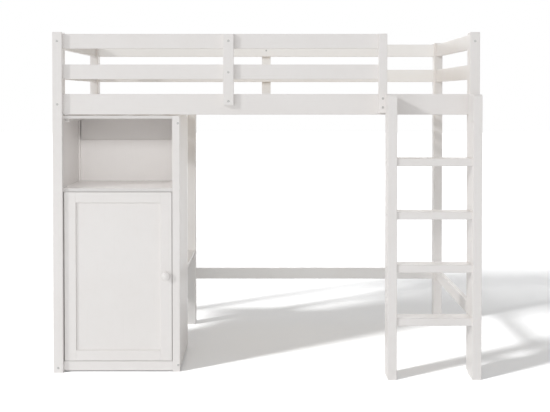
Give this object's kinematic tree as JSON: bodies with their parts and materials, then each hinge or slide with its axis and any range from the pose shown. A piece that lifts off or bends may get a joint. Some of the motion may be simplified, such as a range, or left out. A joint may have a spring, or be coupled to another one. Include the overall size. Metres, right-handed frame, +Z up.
{
  "type": "loft bed",
  "caption": "Raised single bed of painted wood with guard rails all round, a vertical ladder at one end of the front, and a closet with an open cubby and a hinged door under the other end.",
  "frame": {"origin": "on the floor, in the middle of the whole bed with its ladder", "axes": "+X along the bed towards the ladder's end, +Y from the ladder's side to the rear, +Z up"},
  "size_m": [2.019, 1.211, 1.6165],
  "materials": {
    "painted_wood": "white satin paint",
    "bare_pine": "planed, unpainted",
    "steel_fittings": "zinc plated",
    "chrome_tube": "polished",
    "catch_plastic": "matte"
  },
  "bodies": {
    "frame": {"bolt_nuts": "steel_fittings", "cabinet_back": "painted_wood", "cabinet_back_rail": "painted_wood", "cabinet_battens": "painted_wood", "cabinet_bottom": "painted_wood", "cabinet_plinth": "painted_wood", "cabinet_side_left": "painted_wood", "cabinet_side_right": "painted_wood", "cabinet_stile": "painted_wood", "cabinet_top": "painted_wood", "clothes_rail": "chrome_tube", "clothes_rail_sockets": "chrome_tube", "cubby_shelf": "painted_wood", "end_rail_left": "painted_wood", "end_rail_right": "painted_wood", "entry_upright": "painted_wood", "floor_rail_left": "painted_wood", "frame_bolts": "steel_fittings", "front_upright": "painted_wood", "guard_middle_front": "painted_wood", "guard_middle_left": "painted_wood", "guard_middle_rear": "painted_wood", "guard_middle_right": "painted_wood", "guard_top_front": "painted_wood", "guard_top_left": "painted_wood", "guard_top_rear": "painted_wood", "guard_top_right": "painted_wood", "ladder_rung_1": "painted_wood", "ladder_rung_2": "painted_wood", "ladder_rung_3": "painted_wood", "ladder_rung_4": "painted_wood", "ladder_spacer": "painted_wood", "ladder_stringer_left": "painted_wood", "ladder_stringer_right": "painted_wood", "lower_rail_rear": "painted_wood", "lower_rail_right": "painted_wood", "magnetic_catch": "catch_plastic", "pivot_pins": "steel_fittings", "post_front_left": "painted_wood", "post_front_right": "painted_wood", "post_rear_left": "painted_wood", "post_rear_middle": "painted_wood", "post_rear_right": "painted_wood", "rear_shelf": "painted_wood", "rear_upright": "painted_wood", "side_rail_front": "painted_wood", "side_rail_rear": "painted_wood", "slat_ledgers": "bare_pine", "slats": "bare_pine", "wood_screws": "steel_fittings"},
    "door": {"door_stile_hinge": "painted_wood", "door_stile_latch": "painted_wood", "door_rail_top": "painted_wood", "door_rail_bottom": "painted_wood", "door_panel": "painted_wood", "door_knob": "painted_wood", "door_screws": "steel_fittings", "pivot_sleeves": "steel_fittings", "strike_plate": "steel_fittings"}
  },
  "joints": [
    {"name": "door_hinge", "type": "hinge", "parent": "frame", "child": "door", "pos_m": [-0.948, -0.4575, 0.455], "axis": [0, 0, -1], "range_deg": [0, 95]}
  ]
}
